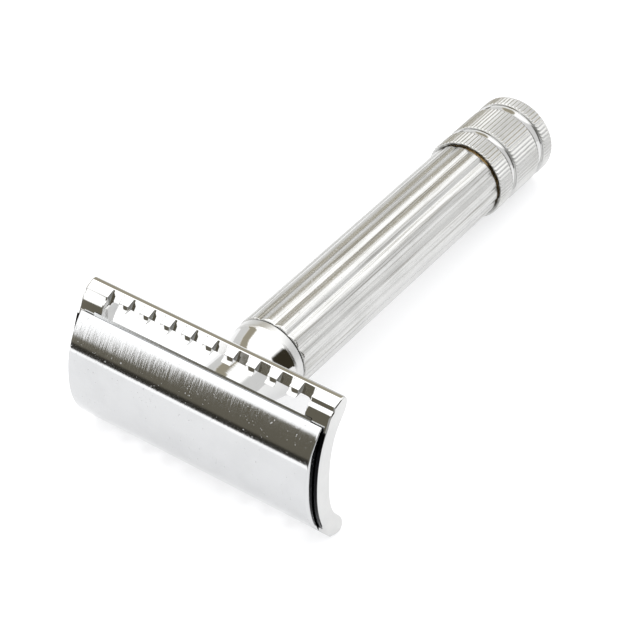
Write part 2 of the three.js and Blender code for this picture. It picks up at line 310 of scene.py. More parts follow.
def outward(loop: Array) -> Array:
    """Unit normals of a closed loop of pairs, pointing away from its inside."""
    along = np.roll(loop, -1, 0) - np.roll(loop, 1, 0)
    normal = np.stack([along[:, 1], -along[:, 0]], axis=-1)
    normal /= np.maximum(np.linalg.norm(normal, axis=1), 1e-12)[:, None]
    x, y = loop[:, 0], loop[:, 1]
    area = np.sum(x * np.roll(y, -1) - np.roll(x, -1) * y)
    return normal * (1.0 if area > 0 else -1.0)


def spread_normals(loop: Array, reach: float = 0.6) -> Array:
    """Outward normals averaged over nearby points, weight exp(-(distance / reach)^2).

    Args:
        loop: closed loop of pairs.
        reach: distance over which they are averaged; a loop moved inwards by less does not cross itself.
    Returns:
        One unit normal per point.
    """
    share = np.linalg.norm(np.roll(loop, -1, 0) - np.roll(loop, 1, 0), axis=1)
    apart = np.linalg.norm(loop[:, None] - loop[None], axis=2)
    mean = (np.exp(-((apart / reach) ** 2)) * share[None]) @ outward(loop)
    return mean / np.maximum(np.linalg.norm(mean, axis=1), 1e-9)[:, None]


def rounded_ends(inner: Array, half: float, radius: Array, steps: int = 5) -> tuple[Array, Array]:
    """Stations along the head and how far the section shrinks at each, for rounded end edges.

    Near an end the station is half - radius (1 - sin a) and the section shrinks by
    radius (1 - cos a), with a from 0 to a right angle.

    Args:
        inner: stations between the two roundings.
        half: half length of the piece.
        radius: rounding radius at each point of the section.
        steps: spans along each rounding.
    Returns:
        Two arrays of stations x section points.
    """
    a = np.linspace(0, QUARTER, steps + 1)[:, None]
    end = half - radius[None, :] * (1 - np.sin(a))
    shrink = radius[None, :] * (1 - np.cos(a))
    flat = np.repeat(inner[:, None], len(radius), 1)
    stations = np.concatenate([-end[::-1], flat, end])
    return stations, np.concatenate([shrink[::-1], np.zeros_like(flat), shrink])


def lofted(name: str, stations: Array, loops: Array, sharp: float = 40.0) -> bpy.types.Object:
    """A closed tube of sections along the head, with a flat face at each end.

    Args:
        name: object name.
        stations: x of every point, sections x points.
        loops: z and y of every point, sections x points x 2.
        sharp: angle in degrees past which an edge is kept sharp.
    Returns:
        The linked object.
    """
    points = np.stack([stations, loops[..., 1], loops[..., 0]], axis=-1)
    return skin(name, points, capped_tube(*stations.shape), sharp)


def drilled(piece: bpy.types.Object, tools: list[bpy.types.Object], sharp: float = 40.0) -> None:
    """Cut tools out of a piece and remove them.

    Args:
        piece: the closed piece that is cut.
        tools: closed solids in the same place.
        sharp: angle in degrees past which an edge is kept sharp.
    """
    for tool in tools:
        hole = piece.modifiers.new("hole", "BOOLEAN")
        hole.operation, hole.solver, hole.object = "DIFFERENCE", "EXACT", tool
    bpy.context.view_layer.update()
    made = piece.evaluated_get(bpy.context.evaluated_depsgraph_get())
    old, piece.data = piece.data, bpy.data.meshes.new_from_object(made)
    piece.modifiers.clear()
    bpy.data.meshes.remove(old)
    for tool in tools:
        bpy.data.meshes.remove(tool.data)
    smooth(piece, sharp)


# ---------------------------------------------------------------- shader maths


class Wire:
    """One number carried through a shader, with Python's operators."""

    def __init__(self, shop: "Shop", socket: bpy.types.NodeSocket) -> None:
        """Wrap an output socket of a shop's tree."""
        self.shop = shop
        self.socket = socket

    def _math(self, operation: str, first: "float | Wire", second: "float | Wire") -> "Wire":
        """Add a Math node.

        Args:
            operation: the node's operation.
            first: upper input.
            second: lower input.
        Returns:
            The node's result.
        """
        made = self.shop.node("ShaderNodeMath", {"operation": operation}, {0: first, 1: second})
        return Wire(self.shop, made.outputs[0])

    def __add__(self, other: "float | Wire") -> "Wire":
        """Sum."""
        return self._math("ADD", self, other)

    __radd__ = __add__

    def __sub__(self, other: "float | Wire") -> "Wire":
        """Difference."""
        return self._math("SUBTRACT", self, other)

    def __rsub__(self, other: "float | Wire") -> "Wire":
        """Difference from a plain number."""
        return self._math("SUBTRACT", other, self)

    def __mul__(self, other: "float | Wire") -> "Wire":
        """Product."""
        return self._math("MULTIPLY", self, other)

    __rmul__ = __mul__

    def __neg__(self) -> "Wire":
        """Sign turned round."""
        return self._math("SUBTRACT", 0.0, self)

    def arctan2(self, other: "Wire") -> "Wire":
        """Angle whose tangent is this over the other, in all four quadrants."""
        return self._math("ARCTAN2", self, other)

    def __abs__(self) -> "Wire":
        """Size without sign."""
        return self._math("ABSOLUTE", self, 0.0)

    def ramp(self, low: float, high: float) -> "Wire":
        """Smooth step from 0 at low to 1 at high."""
        made = self.shop.node(
            "ShaderNodeMapRange",
            {"interpolation_type": "SMOOTHSTEP"},
            {"Value": self, "From Min": low, "From Max": high},
        )
        return Wire(self.shop, made.outputs[0])


class Shop:
    """Builds the node tree of one material or of the world."""

    def __init__(self, tree: bpy.types.NodeTree) -> None:
        """Start with an empty tree."""
        self.tree = tree
        tree.nodes.clear()

    def feed(self, socket: bpy.types.NodeSocket, value: object) -> None:
        """Link a wire or socket into a socket, or set its value."""
        if isinstance(value, Wire):
            self.tree.links.new(value.socket, socket)
        elif isinstance(value, bpy.types.NodeSocket):
            self.tree.links.new(value, socket)
        else:
            socket.default_value = value

    def node(self, kind: str, settings: dict | None = None, values: dict | None = None) -> bpy.types.Node:
        """Add a node.

        Args:
            kind: node type.
            settings: properties, set before the inputs.
            values: numbers, wires or sockets for its inputs, by name or number.
        Returns:
            The node.
        """
        made = self.tree.nodes.new(kind)
        for key, value in (settings or {}).items():
            setattr(made, key, value)
        for key, value in (values or {}).items():
            self.feed(made.inputs[key], value)
        return made

    def razor_mm(self) -> bpy.types.NodeSocket:
        """The surface point in the razor's own millimetres, from Object coordinates."""
        place = self.node("ShaderNodeTexCoord").outputs["Object"]
        return self.node(
            "ShaderNodeMapping",
            {"vector_type": "TEXTURE"},
            {
                "Vector": place,
                "Location": [v * MM for v in REST.offset],
                "Rotation": (-REST.tilt, 0.0, 0.0),
                "Scale": (MM, MM, MM),
            },
        ).outputs[0]

    def parts(self, vector: bpy.types.NodeSocket) -> tuple[Wire, Wire, Wire]:
        """The three numbers of a vector."""
        made = self.node("ShaderNodeSeparateXYZ", None, {0: vector})
        return Wire(self, made.outputs[0]), Wire(self, made.outputs[1]), Wire(self, made.outputs[2])

    def stretched(self, vector: bpy.types.NodeSocket, scale: Sequence[float]) -> bpy.types.NodeSocket:
        """A vector multiplied by three numbers."""
        return self.node("ShaderNodeVectorMath", {"operation": "MULTIPLY"}, {0: vector, 1: scale}).outputs[0]

    def noise(self, vector: bpy.types.NodeSocket, scale: float, detail: float = 2.0,
              roughness: float = 0.5) -> Wire:
        """Noise between 0 and 1 around one half.

        Args:
            vector: where it is read.
            scale: repeats per unit.
            detail: octaves.
            roughness: strength of the finer octaves.
        Returns:
            The noise value.
        """
        made = self.node(
            "ShaderNodeTexNoise",
            None,
            {"Vector": vector, "Scale": scale, "Detail": detail, "Roughness": roughness},
        )
        return Wire(self, made.outputs[0])

    def mixed(self, share: "float | Wire", low: object, high: object) -> bpy.types.NodeSocket:
        """A colour between two others."""
        return self.node(
            "ShaderNodeMix", {"data_type": "RGBA"}, {0: share, 6: low, 7: high}
        ).outputs[2]


# ---------------------------------------------------------------- finishes


# dark brown tone of the fine lines along the lay: a painted reflection of dark surroundings in the brushing,
# laid into the base colour
STREAK_REFLECTION_TINT: Colour = (0.20, 0.19, 0.16)
SMUDGE_EDGES = (0.42, 0.68)
SMUDGE_SHARE = 0.8


def rgba(colour: Colour) -> tuple[float, float, float, float]:
    """A colour with full alpha."""
    return (*colour, 1.0)


def blank_material(name: str) -> tuple[bpy.types.Material, Shop]:
    """A new material with an empty tree, and the shop that fills it."""
    material = bpy.data.materials.new(name)
    material.use_nodes = True
    return material, Shop(material.node_tree)


@dataclass(frozen=True)
class MetalFinish:
    """Bare or plated metal with machining marks, smudges and tiny pits, and, where lines is set, fine dark
    brown lines painted into its colour as streaks of reflection.

    Args:
        name: material name.
        tint: reflected colour, linear.
        shade: reflected colour in smudges, linear.
        roughness: of the clean surface.
        spread: how much the marks change the roughness.
        lay: which way the marks run.
        marks: depth of the marks, in thousandths of a millimetre.
        pits: share of pits, 0 for none.
        pit_roughness: roughness added inside a pit.
        grain: repeats of the finest grain per millimetre.
        grain_depth: depth of the grain, in thousandths of a millimetre.
        lines: share of the surface tone taken by fine dark brown lines along the lay, painted reflection
            streaks over the real brushing.
    """

    name: str
    tint: Colour
    shade: Colour
    roughness: float
    spread: float
    lay: Lay
    marks: float
    pits: float = 0.0
    pit_roughness: float = 0.45
    grain: float = 5.0
    grain_depth: float = 0.0
    lines: float = 0.0

    def make(self) -> bpy.types.Material:
        """Build the material."""
        material, shop = blank_material(self.name)
        place = shop.razor_mm()
        marks = shop.noise(shop.stretched(place, self.lay.value), 1.0, 4.0, 0.62)
        smudge = shop.noise(place, 0.16, 3.0, 0.55)
        grain = shop.noise(place, self.grain, 2.0, 0.6)
        pit = shop.noise(place, 3.1, 1.0, 0.4).ramp(0.80 - self.pits, 0.84 - self.pits)
        rough = (marks - 0.5) * self.spread + self.roughness + (smudge - 0.5) * (0.5 * self.spread)
        rough = rough + pit * self.pit_roughness
        height = marks * self.marks + grain * self.grain_depth
        bump = shop.node(
            "ShaderNodeBump",
            None,
            {"Strength": 1.0, "Distance": 1e-6, "Height": height},
        )
        colour = shop.mixed(smudge.ramp(*SMUDGE_EDGES) * SMUDGE_SHARE, rgba(self.tint), rgba(self.shade))
        # fine dark brown lines along the lay: painted reflection streaks over the real brush marks
        if self.lines:
            fine = shop.noise(shop.stretched(place, self.lay.value), 0.62, 3.0, 0.7).ramp(0.50, 0.66)
            colour = shop.mixed(fine * self.lines, colour, rgba(STREAK_REFLECTION_TINT))
        self.finish_off(shop, colour, rough, bump.outputs[0])
        return material

    def finish_off(self, shop: Shop, colour: bpy.types.NodeSocket, rough: Wire,
                   normal: bpy.types.NodeSocket) -> None:
        """Join colour, roughness and normal to the shader and the output."""
        shader = shop.node(
            "ShaderNodeBsdfPrincipled",
            None,
            {"Base Color": colour, "Metallic": 1.0, "Roughness": rough, "Normal": normal},
        )
        shop.node("ShaderNodeOutputMaterial", None, {0: shader.outputs[0]})


@dataclass(frozen=True)
class NeckFinish(MetalFinish):
    """Turned chrome whose flange is satin, like the tube behind it.

    Args:
        satin_from: station along the handle at which the satin starts.
        satin: roughness added there.
    """

    satin_from: float = 18.7
    satin: float = 0.26

    def finish_off(self, shop: Shop, colour: bpy.types.NodeSocket, rough: Wire,
                   normal: bpy.types.NodeSocket) -> None:
        """Roughen the flange, then join everything to the shader and the output."""
        _, y, _ = shop.parts(shop.razor_mm())
        added = y.ramp(self.satin_from, self.satin_from + 0.1) * self.satin
        super().finish_off(shop, colour, rough + added, normal)


@dataclass(frozen=True)
class BladeFinish(MetalFinish):
    """Bright blade steel whose ends are painted near black: painted shade standing in for the dark gap
    between cap and guard.

    Args:
        dark: near-black colour of the ends, painted shade of the gap between cap and guard, linear.
        dark_from: distance from the middle of the blade at which the dark ends start.
    """

    dark: Colour = (0.006, 0.006, 0.007)
    dark_from: float = 20.2

    def finish_off(self, shop: Shop, colour: bpy.types.NodeSocket, rough: Wire,
                   normal: bpy.types.NodeSocket) -> None:
        """Paint the ends near black as painted shade, then join everything to the shader and the output."""
        x, _, _ = shop.parts(shop.razor_mm())
        # painted shade: the blade's ends are coloured near black where the gap between cap and guard lies in
        # shade
        ends = abs(x).ramp(self.dark_from, self.dark_from + 0.3)
        shaded = shop.mixed(ends, colour, rgba(self.dark))
        super().finish_off(shop, shaded, rough, normal)


class Finishes:
    """Every finish of the razor, made once."""

    def __init__(self) -> None:
        """Build the materials."""
        chrome, chrome_shade = (0.640, 0.640, 0.632), (0.600, 0.602, 0.598)
        self.cap = MetalFinish(
            "cap_chrome", tint=(0.605, 0.61, 0.615), shade=(0.575, 0.58, 0.585), roughness=0.085,
            spread=0.06, lay=Lay.ACROSS_HEAD, marks=8.0, pits=0.085, grain=6.0, grain_depth=0.35).make()
        self.polished = MetalFinish(
            "bright_chrome", tint=chrome, shade=chrome_shade, roughness=0.045,
            spread=0.04, lay=Lay.EVEN, marks=0.35, grain_depth=0.1).make()
        self.turned = MetalFinish(
            "turned_chrome", tint=chrome, shade=chrome_shade, roughness=0.05,
            spread=0.05, lay=Lay.AROUND_HANDLE, marks=0.8).make()
        self.neck = NeckFinish(
            "neck_chrome", tint=chrome, shade=chrome_shade, roughness=0.06,
            spread=0.05, lay=Lay.AROUND_HANDLE, marks=6.0).make()
        # the reeded tube's lines paint dark brown reflection streaks into its colour
        self.grip = MetalFinish(
            "reeded_chrome", tint=(0.62, 0.62, 0.61), shade=(0.57, 0.57, 0.56), roughness=0.24,
            spread=0.14, lay=Lay.ALONG_HANDLE, marks=30.0, pits=0.08, grain_depth=0.3, lines=0.55).make()
        self.knurled = MetalFinish(
            "knurled_chrome", tint=(0.61, 0.61, 0.60), shade=(0.54, 0.54, 0.52), roughness=0.24,
            spread=0.14, lay=Lay.ALONG_HANDLE, marks=14.0, grain_depth=0.3).make()
        self.steel = MetalFinish(
            "bright_steel", tint=(0.47, 0.48, 0.49), shade=(0.38, 0.39, 0.40), roughness=0.24,
            spread=0.12, lay=Lay.AROUND_HANDLE, marks=1.5).make()
        self.blade = BladeFinish(
            "blade_steel", tint=(0.58, 0.59, 0.60), shade=(0.50, 0.51, 0.52), roughness=0.10,
            spread=0.08, lay=Lay.ACROSS_HEAD, marks=1.2).make()
        self.brass = MetalFinish(
            "turned_brass", tint=(0.78, 0.53, 0.22), shade=(0.60, 0.38, 0.15), roughness=0.22,
            spread=0.14, lay=Lay.AROUND_HANDLE, marks=1.8, pits=0.02).make()
        self.spring = MetalFinish(
            "spring_steel", tint=(0.30, 0.31, 0.33), shade=(0.20, 0.20, 0.22), roughness=0.30,
            spread=0.16, lay=Lay.EVEN, marks=1.2).make()


def dress(piece: bpy.types.Object, material: bpy.types.Material, body: Body, slot: Slot, *nodes: str) -> None:
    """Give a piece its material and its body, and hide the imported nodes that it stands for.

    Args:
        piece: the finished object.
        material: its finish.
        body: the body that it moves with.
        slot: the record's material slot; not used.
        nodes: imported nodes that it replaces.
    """
    piece.data.materials.clear()
    piece.data.materials.append(material)
    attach(piece, body.value)
    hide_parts(*nodes)
    count = len(piece.data.polygons)
    log.info("%s: %d faces, on %s, for %s", piece.name, count, body.value, ", ".join(nodes))


# ---------------------------------------------------------------- head


@dataclass(frozen=True)
class HeadCurves:
    """Curves that cap, blade and guard share: all follow the bent blade."""

    crown_drop: float = 3.5
    crown_power: float = 2.4
    cap_half_width: float = 9.7
    blade_centre: float = 1.86
    blade_drop: float = 2.3
    blade_power: float = 2.3
    blade_half_width: float = 10.25
    clearance: float = 0.15
    post_spacing: float = 25.6

    def crown(self, z: Array) -> Array:
        """Cap's outer face: drop times (distance / half width) to the crown power."""
        return self.crown_drop * (np.abs(z) / self.cap_half_width) ** self.crown_power

    def blade(self, z: Array) -> Array:
        """Blade's middle face: centre plus drop times (distance / half width) to the blade power."""
        return self.blade_centre + self.blade_drop * (np.abs(z) / self.blade_half_width) ** self.blade_power


@dataclass
class CapAssembly:
    """Cap with its threaded stud and two locating posts."""

    curves: HeadCurves
    finishes: Finishes
    half_length: float = 20.75
    end_round: float = 0.16
    stud_radius: float = 2.4
    stud_foot_radius: float = 2.9
    stud_end: float = 15.5
    thread_pitch: float = 0.8
    thread_depth: float = 0.36
    post_radius: float = 1.4
    post_end: float = 4.5
    nose_start: float = 9.6
    inner_edge: float = 9.4

    def shell_loop(self) -> tuple[Array, Array]:
        """Section of the cap and how much each point may shrink at the ends.

        Returns:
            The closed loop of z and y, and the rounding radius at each point.
        """
        z = self.curves.cap_half_width * np.sin(np.linspace(0, 1, 42) * QUARTER) ** 0.8
        z = z[z < self.nose_start]
        outer = np.stack([z, self.curves.crown(z)], axis=-1)
        nose = filleted([[self.nose_start, 3.412], [9.69, 3.5], [9.7, 3.6], [9.62, 3.68], [9.5, 3.645]],
                        0.05, 3, closed=False)
        under = np.linspace(self.inner_edge, 0, 26)
        inner = np.stack([under, self.curves.blade(under) - self.curves.clearance], axis=-1)
        right = np.concatenate([outer, nose, inner])
        left = right[1:-1][::-1] * np.array([-1.0, 1.0])
        loop = np.concatenate([right, left])
        flat = np.abs(loop[:, 0])
        crown = self.curves.crown(np.minimum(flat, self.curves.cap_half_width))
        thickness = self.curves.blade(flat) - self.curves.clearance - crown
        return loop, np.minimum(self.end_round, 0.4 * np.maximum(thickness, 0.05))

    def shell(self) -> bpy.types.Object:
        """Crowned cap with thin rounded edges."""
        loop, radius = self.shell_loop()
        inner = np.linspace(-self.half_length + 0.3, self.half_length - 0.3, 25)
        stations, shrink = rounded_ends(inner, self.half_length, radius, 4)
        loops = loop[None] - outward(loop)[None] * shrink[..., None]
        return lofted("cap_shell", stations, loops)

    def thread(self, turn: Array, radius: Array, station: Array) -> Array:
        """Right-hand thread: the radius is capped by a zigzag of station / pitch - turn / full turn."""
        wave = zigzag(thread_phase(turn, station, self.thread_pitch))
        flank = np.clip(1.25 * wave - 0.12, 0, 1)
        fade = np.clip((station - 2.9) / 0.6, 0, 1)
        return np.minimum(radius, self.stud_radius - self.thread_depth * flank * fade)

    def stud(self) -> bpy.types.Object:
        """Threaded stud on a small foot."""
        foot = self.curves.blade_centre + 0.04
        wide, radius, end = self.stud_foot_radius, self.stud_radius, self.stud_end
        lead = [[0, foot], [wide, foot], [wide, 2.02], [radius, 2.28]]
        tip = [[radius, end - 0.5], [radius - 0.5, end], [0, end]]
        station = np.arange(2.5, end - 0.55, self.thread_pitch / 12)
        shank = np.stack([np.full_like(station, radius), station], axis=-1)
        section = np.concatenate([np.array(lead), shank, np.array(tip)])
        return revolve("cap_thread_stud", section, 48, self.thread)

    def post(self, side: int) -> bpy.types.Object:
        """Locating post on one side (-1 left, 1 right)."""
        start = self.curves.blade_centre - 0.06
        section = filleted(
            [[0, start], [self.post_radius, start], [self.post_radius, self.post_end - 0.25],
             [self.post_radius - 0.25, self.post_end], [0, self.post_end]], 0.12, 4, closed=False)
        name = "cap_post_right" if side > 0 else "cap_post_left"
        return revolve(f"{name}_turned", section, 48, centre=(side * self.curves.post_spacing / 2, 0.0))

    def build(self) -> None:
        """Make and dress the cap's pieces."""
        shell = self.shell()
        weighted(shell)
        dress(shell, self.finishes.cap, Body.CAP, Slot.SATIN, "cap")
        dress(self.stud(), self.finishes.turned, Body.CAP, Slot.POLISHED, "cap_stud")
        dress(self.post(-1), self.finishes.turned, Body.CAP, Slot.POLISHED, "cap_post_left")
        dress(self.post(1), self.finishes.turned, Body.CAP, Slot.POLISHED, "cap_post_right")


@dataclass
class BladeAssembly:
    """Double-edge blade, bent between cap and guard."""

    curves: HeadCurves
    finishes: Finishes
    half_length: float = 21.4
    ground_half_width: float = 9.98
    edge_half_length: float = 18.7
    tab_half_width: float = 8.9
    thickness: float = 0.1
    ground: float = 0.45
    centre_hole: float = 3.2
    post_hole: float = 1.75
    slot_length: float = 15.0
    slot_width: float = 1.6
    slot_centre: float = 10.2

    def leaf(self) -> bpy.types.Object:
        """Thin leaf: y = bent middle +/- half thickness, tapering to the edge over the ground strip."""
        share = np.concatenate([np.linspace(0, 0.9, 19), np.linspace(0.92, 1.0, 6)])
        share = np.concatenate([-share[:0:-1], share])
        step = np.array([self.edge_half_length - 0.04, self.edge_half_length + 0.04])
        x = np.concatenate([np.linspace(-self.half_length, -19, 4), -step[::-1],
                            np.linspace(-18.4, 18.4, 21), step, np.linspace(19, self.half_length, 4)])
        half = np.where(np.abs(x) < self.edge_half_length, self.ground_half_width, self.tab_half_width)
        z = half[:, None] * share[None, :]
        wedge = np.clip((half[:, None] - np.abs(z)) / self.ground, 0.06, 1.0)
        wedge = np.where(half[:, None] > self.tab_half_width, wedge, 1.0)
        lift = 0.5 * self.thickness * wedge
        middle = self.curves.blade(z)
        loops = np.stack([np.concatenate([z, z[:, ::-1]], 1),
                          np.concatenate([middle - lift, (middle + lift)[:, ::-1]], 1)], axis=-1)
        return lofted("blade_leaf", np.repeat(x[:, None], loops.shape[1], 1), loops, sharp=25)

    def slot_tool(self, side: int) -> bpy.types.Object:
        """Long slot with rounded corners, on one side of the centre hole."""
        half, width = self.slot_length / 2, self.slot_width / 2
        outline = filleted([[-half, -width], [half, -width], [half, width], [-half, width]], 0.5, 4)
        y = np.array([1.0, 4.0])
        points = np.stack([np.repeat(outline[None, :, 0], 2, 0) + side * self.slot_centre,
                           np.repeat(y[:, None], len(outline), 1),
                           np.repeat(outline[None, :, 1], 2, 0)], axis=-1)
        return skin("slot_tool", points, capped_tube(2, len(outline)))

    def build(self) -> None:
        """Make and dress the blade."""
        leaf = self.leaf()
        hole = np.array([[0, 1.0], [1, 1.0], [1, 4.0], [0, 4.0]])
        tools = [revolve("centre_tool", hole * np.array([self.centre_hole, 1]), 48)]
        for side in (-1, 1):
            tools.append(self.slot_tool(side))
            tools.append(revolve("post_tool", hole * np.array([self.post_hole, 1]), 32,
                                 centre=(side * self.curves.post_spacing / 2, 0.0)))
        drilled(leaf, tools, sharp=25)
        dress(leaf, self.finishes.blade, Body.BLADE, Slot.BLADE, "blade")


@dataclass
class GuardPlate:
    """Guard plate: blade seat, lather channels, notched safety bars and thick rounded back."""

    curves: HeadCurves
    finishes: Finishes
    half_length: float = 21.5
    notch_count: int = 10
    notch_pitch: float = 3.66
    notch_width: float = 2.05
    crest_round: float = 0.11
    root_round: float = 0.12
    channel_half_length: float = 17.5
    channel_y: float = 3.7
    channel_z: float = 9.62
    channel_depth: float = 2.1
    channel_reach: float = 1.76
    channel_power: float = 4.0
    floor_start: tuple[float, float] = (10.6, 5.78)
    floor_slope: float = 0.6
    floor_lean: float = 0.026
    opening_half_length: float = 17.25
    opening_outer: float = 11.3
    opening_levels: tuple[float, ...] = (4.2, 7.1, 9.2)
    opening_inner: tuple[float, ...] = (8.1, 5.6, 5.6)
    front_end_round: float = 0.42
    back_end_round: float = 0.22
    cut_margin: float = 0.35
    cut_from: float = 7.5
    inner_wall_slope: float = 12.0
    bore: float = 3.45
    counterbore: float = 4.35
    post_hole: float = 1.7

    def front_half(self) -> Array:
        """Front of the section from the middle out to the widest point, z then y."""
        seat_z = np.linspace(0, 9.4, 20)
        seat = np.stack([seat_z, self.curves.blade(seat_z) + self.curves.clearance], axis=-1)
        bar = filleted(
            [[9.6, 4.0], [10.3, 4.3], [10.9, 4.56], [11.3, 4.8], [11.52, 5.04], [11.62, 5.34],
             [12.24, 5.61], [12.62, 6.76], [12.72, 7.1], [12.72, 7.42]],
            [0, 0.25, 0.2, 0.2, 0.2, 0.05, 0.05, 0.2, 0.2, 0], 4, closed=False)
        path = np.concatenate([seat, bar])
        swing = np.cos(np.linspace(0.02, math.pi - 0.02, 41))
        rows = np.concatenate([seat_z, self.channel_z + self.channel_reach * swing, bar[:, 0]])
        rows = np.sort(rows[rows < 12.5])
        rows = rows[np.concatenate([[True], np.diff(rows) > 0.02])]
        inner = np.stack([rows, np.interp(rows, path[:, 0], path[:, 1])], axis=-1)
        return np.concatenate([inner, path[path[:, 0] > rows[-1] + 0.01]])

    def back_half(self) -> Array:
        """Back of the section from the widest point to the middle."""
        return filleted(
            [[12.72, 7.46], [12.72, 7.75], [12.45, 8.16], [12.0, 8.44], [11.5, 8.5], [10.6, 8.33],
             [9.6, 7.72], [8.6, 6.86], [7.5, 6.12], [6.2, 5.56], [4.5, 5.12], [2.5, 4.86], [0, 4.78]],
            [0] + [0.6] * 11 + [0], 3, closed=False)

    def columns(self) -> tuple[Array, Array, Array]:
        """Stations along the head with the rounding of the notch walls.

        A wall rises from the floor as half width - root (1 - sin q), and turns over at the top
        as half width + crest (1 - cos q), with q from 0 to a right angle.

        Returns:
            Station, whether it belongs to a notch, and the offset from its floor or from the land.
        """
        q = np.linspace(0, QUARTER, 5)
        half, root, crest = self.notch_width / 2, self.root_round, self.crest_round
        root_x, root_a = half - root * (1 - np.sin(q)), root * (1 - np.cos(q))
        crest_x, crest_a = half + crest * (1 - np.cos(q)), crest * (1 - np.sin(q))
        floor_x = np.linspace(-(half - root), half - root, 9)[1:-1]
        land_x = np.array([self.notch_pitch / 2])
        x = np.concatenate([-crest_x[::-1], -root_x[::-1], floor_x, root_x, crest_x, land_x])
        deep = np.concatenate([np.zeros(5), np.ones(5), np.ones(7), np.ones(5), np.zeros(5), [0]])
        offset = np.concatenate([crest_a[::-1], root_a[::-1], np.zeros(7), root_a, crest_a, [0]])
        centres = (np.arange(self.notch_count) - (self.notch_count - 1) / 2) * self.notch_pitch
        stations = (centres[:, None] + x[None, :]).ravel()[:-1]
        deep = np.tile(deep, self.notch_count)[:-1]
        offset = np.tile(offset, self.notch_count)[:-1]
        outer = np.linspace(17.75, self.half_length - self.front_end_round - 0.02, 9)
        blank = np.zeros(len(outer))
        return (np.concatenate([-outer[::-1], stations, outer]),
                np.concatenate([blank, deep, blank]), np.concatenate([blank, offset, blank]))

    def cut_front(self, x: Array, z: Array, land: Array, deep: Array, offset: Array) -> Array:
        """Height of the front: land, lather channel and notch floors, whichever lies deepest.

        The channel is centre + depth (1 - e^p - |(|z| - centre) / reach|^p)^(1/p), where e grows
        from 0 to 1 over its rounded end and the power p flattens its floor. The notch floor is a
        straight slope outwards from its start.

        Args:
            x: station of every point.
            z: place across the head.
            land: uncut height.
            deep: 1 where the station belongs to a notch.
            offset: distance from the notch floor or from the land.
        Returns:
            Height y of every point.
        """
        across = np.abs(z)
        straight = self.channel_half_length - self.channel_reach
        end = np.clip((np.abs(x) - straight) / self.channel_reach, 0, 1)
        power = self.channel_power
        inside = 1 - end**power - np.abs((across - self.channel_z) / self.channel_reach) ** power
        rise = np.maximum(inside, 0) ** (1 / power)
        channel = np.where(inside > 0, self.channel_y + self.channel_depth * rise, 0.0)
        blend = 0.05
        gap = channel - land
        top = land + np.where(gap > -1, 0.5 * (gap + np.sqrt(gap**2 + blend**2)), 0.0)
        top = np.where((inside > -self.cut_margin) & (across > self.cut_from), top, land)
        start_z, start_y = self.floor_start
        local = x / self.notch_pitch - 0.5
        local = (local - np.round(local)) * self.notch_pitch
        floor = start_y + (across - start_z) * self.floor_slope - self.floor_lean * local
        inner_wall = start_y - self.inner_wall_slope * (start_z - across)
        floor = np.where(across < start_z, inner_wall, floor)
        depth = np.maximum(floor - top, 0)
        share = np.clip(depth / (self.crest_round + self.root_round), 0, 1)
        return top + np.where(deep > 0.5, depth - offset * share, offset * share)

    def plate(self) -> bpy.types.Object:
        """The plate as a tube of sections whose front follows the cuts."""
        front, back = self.front_half(), self.back_half()
        right = np.concatenate([front, back])
        left = right[1:-1][::-1] * np.array([-1.0, 1.0])
        loop = np.concatenate([right, left])
        is_front = np.concatenate(
            [np.ones(len(front), bool), np.zeros(2 * len(back) - 1, bool), np.ones(len(front) - 1, bool)])
        soft = np.clip((loop[:, 1] - 5.2) / 2.2, 0, 1) * (np.abs(loop[:, 0]) > 11.2)
        front_round = self.front_end_round + (self.back_end_round - self.front_end_round) * soft
        radius = np.where(is_front, front_round, self.back_end_round)
        x, deep, offset = self.columns()
        stations, shrink = rounded_ends(x, self.half_length, radius, 6)
        pad = np.zeros(7)
        deep = np.concatenate([pad, deep, pad])[:, None]
        offset = np.concatenate([pad, offset, pad])[:, None]
        z = np.broadcast_to(loop[None, :, 0], stations.shape)
        land = np.broadcast_to(loop[None, :, 1], stations.shape)
        cut = self.cut_front(stations, z, land, deep, offset)
        y = np.where(is_front[None, :] & (shrink == 0), cut, land)
        loops = np.stack([z, y], axis=-1) - spread_normals(loop)[None] * shrink[..., None]
        return lofted("guard_bars_and_seat", stations, loops, sharp=50)

    def opening_tool(self, side: int) -> bpy.types.Object:
        """Long opening under one blade edge: rounded oblongs whose inner side leans towards the handle."""
        half, outlines = self.opening_half_length, []
        for inner in self.opening_inner:
            corners = [[-half, inner], [half, inner], [half, self.opening_outer], [-half, self.opening_outer]]
            outlines.append(filleted(corners, 0.8, 6))
        outline = np.array(outlines)
        levels = np.broadcast_to(np.array(self.opening_levels)[:, None], outline.shape[:2])
        points = np.stack([outline[..., 0], levels, side * outline[..., 1]], axis=-1)
        return skin("opening_tool", points, capped_tube(*levels.shape))

    def build(self) -> None:
        """Make, drill and dress the plate."""
        plate = self.plate()
        hole = np.array([[0, 1.0], [1, 1.0], [1, 7.0], [0, 7.0]])
        counter = np.array([[0, 1.0], [1, 1.0], [1, 3.0], [0, 3.0]])
        tools = [revolve("bore_tool", hole * np.array([self.bore, 1]), 72),
                 revolve("counter_tool", counter * np.array([self.counterbore, 1]), 72)]
        for side in (-1, 1):
            tools.append(self.opening_tool(side))
            tools.append(revolve("post_tool", hole * np.array([self.post_hole, 1]), 48,
                                 centre=(side * self.curves.post_spacing / 2, 0.0)))
        drilled(plate, tools, sharp=50)
        weighted(plate)
        dress(plate, self.finishes.polished, Body.HANDLE, Slot.POLISHED, "guard_plate")


# ---------------------------------------------------------------- handle


